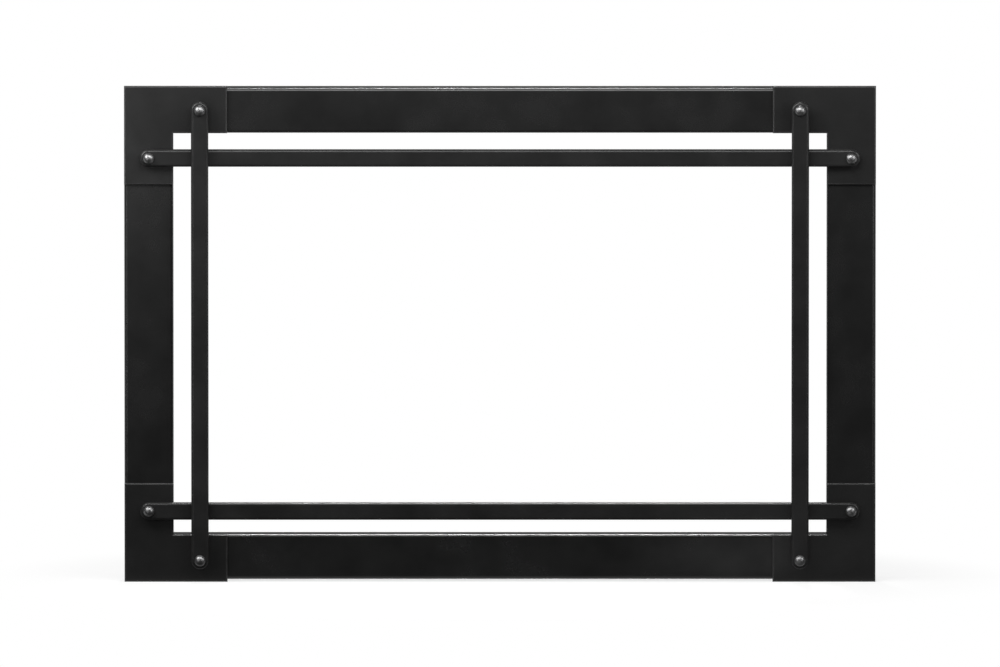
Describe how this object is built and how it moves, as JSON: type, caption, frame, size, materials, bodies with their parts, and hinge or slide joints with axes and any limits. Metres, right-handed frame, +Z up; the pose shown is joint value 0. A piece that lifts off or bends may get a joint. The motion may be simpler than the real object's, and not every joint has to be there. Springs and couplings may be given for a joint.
{
  "type": "fireplace front",
  "caption": "Rectangular steel fireplace front: a mitred channel frame with flat corner plates and crossed bars on dome-head bolts, hung by keyhole brackets.",
  "frame": {"origin": "middle of the keyhole pattern, on the plane where the back of the frame meets the fireplace", "axes": "+X to the viewer's right, +Z up, +Y back into the fireplace; the front faces -Y"},
  "size_m": [0.864, 0.053, 0.5732],
  "materials": {
    "black_paint": "satin black powder coat",
    "black_bolt": "polished black oxide",
    "zinc_plate": "bright zinc plate"
  },
  "bodies": {
    "root": {"top_rail": "black_paint", "bottom_rail": "black_paint", "left_rail": "black_paint", "right_rail": "black_paint", "top_left_corner_plate": "black_paint", "top_right_corner_plate": "black_paint", "bottom_left_corner_plate": "black_paint", "bottom_right_corner_plate": "black_paint", "top_left_corner_gusset": "black_paint", "top_right_corner_gusset": "black_paint", "bottom_left_corner_gusset": "black_paint", "bottom_right_corner_gusset": "black_paint", "upper_cross_bar": "black_paint", "lower_cross_bar": "black_paint", "left_upright_bar": "black_paint", "right_upright_bar": "black_paint", "upright_spacers": "black_paint", "cross_bar_bolts": "black_bolt", "upright_bolts": "black_bolt", "top_left_hanger": "zinc_plate", "top_right_hanger": "zinc_plate", "bottom_left_hanger": "zinc_plate", "bottom_right_hanger": "zinc_plate", "bolt_washers": "zinc_plate", "bolt_nuts": "zinc_plate"}
  },
  "joints": []
}
